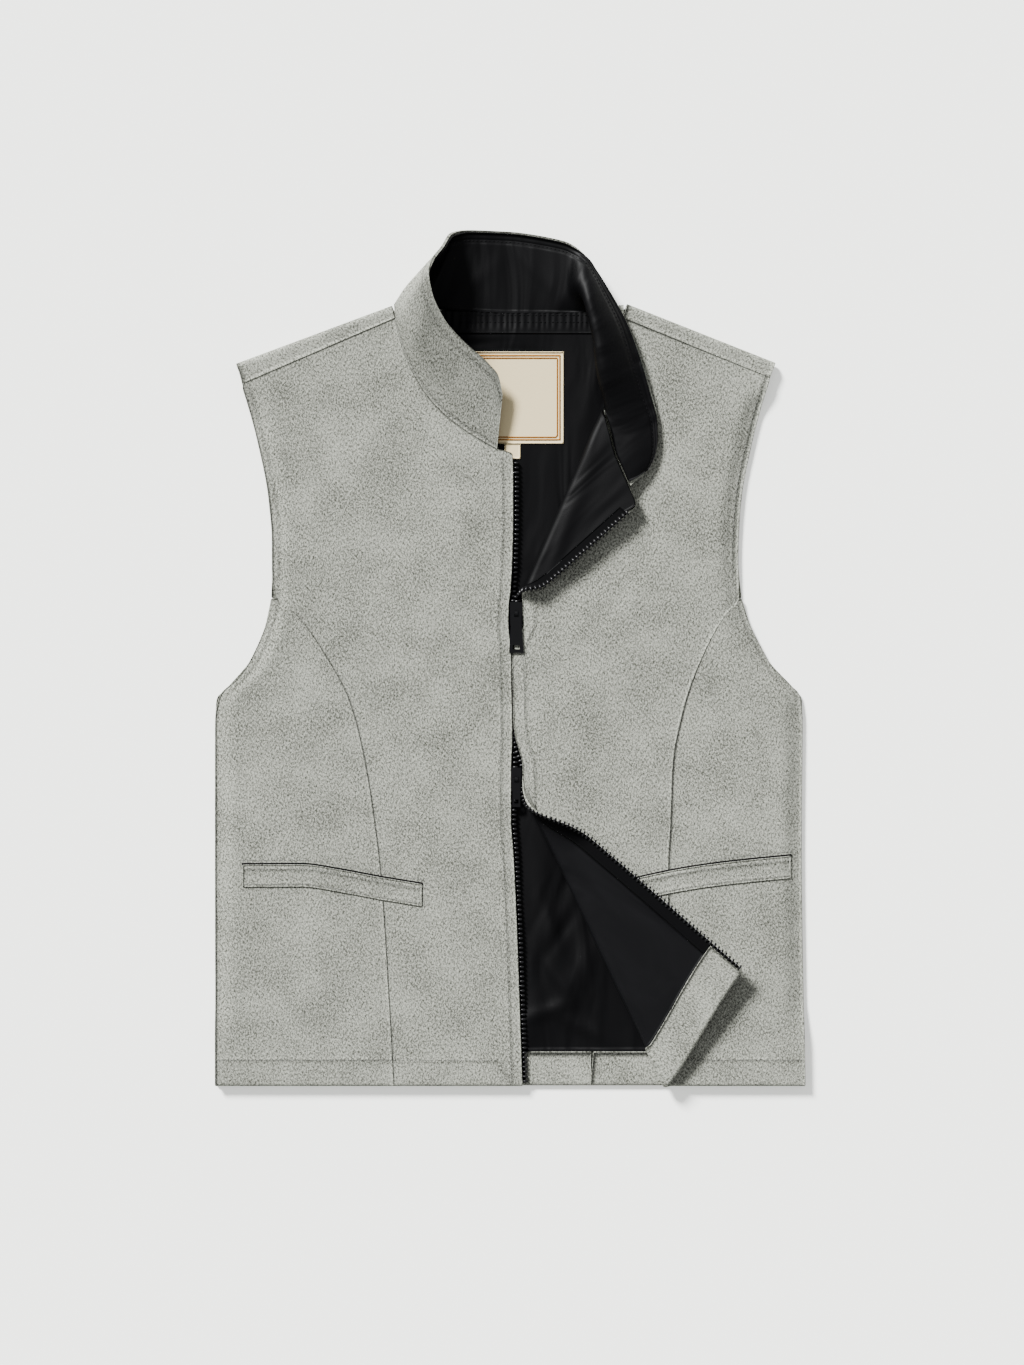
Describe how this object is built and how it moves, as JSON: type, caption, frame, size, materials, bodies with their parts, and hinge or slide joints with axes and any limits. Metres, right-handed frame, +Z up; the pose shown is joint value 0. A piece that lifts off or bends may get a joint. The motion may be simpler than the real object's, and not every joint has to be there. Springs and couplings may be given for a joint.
{
  "type": "western vest",
  "caption": "Heather wool zip vest laid flat: stand collar, princess seams, welt pockets, satin lining, with one front's top and bottom corners turned back",
  "frame": {"origin": "middle of the vest's extent in X and Y, on the surface it lies on", "axes": "+Y from hem to collar, +Z up from the surface, +X towards the wearer's left side"},
  "size_m": [0.511, 0.743, 0.0503],
  "materials": {
    "wool": "matte heather melton wool",
    "satin": "black satin lining with a soft sheen",
    "zip_tape": "black woven tape",
    "label_cloth": "cream woven label",
    "slider_metal": "glossy black"
  },
  "bodies": {
    "vest": {"back_centre": "wool", "back_side_left": "wool", "back_side_right": "wool", "right_front_centre": "wool", "right_front_side": "wool", "left_front_centre": "wool", "left_front_side": "wool", "collar_wool": "wool", "right_pocket_welt": "wool", "left_pocket_welt": "wool", "back_lining": "satin", "lapel_lining": "satin", "corner_lining": "satin", "collar_lining": "satin", "zip_tape_right": "zip_tape", "zip_tape_left": "zip_tape", "neck_label": "label_cloth", "size_tab": "label_cloth", "slider_upper": "slider_metal", "slider_lower": "slider_metal"},
    "upper_pull": {"pull_tab_upper": "slider_metal"},
    "lower_pull": {"pull_tab_lower": "slider_metal"}
  },
  "joints": [
    {"name": "upper_pull_hinge", "type": "hinge", "parent": "vest", "child": "upper_pull", "pos_m": [0.00545, 0.03878, 0.0104], "axis": [-1, 0, 0], "range_deg": [0, 110]},
    {"name": "lower_pull_hinge", "type": "hinge", "parent": "vest", "child": "lower_pull", "pos_m": [0.00555, -0.10472, 0.0104], "axis": [-1, 0, 0], "range_deg": [0, 110]}
  ]
}
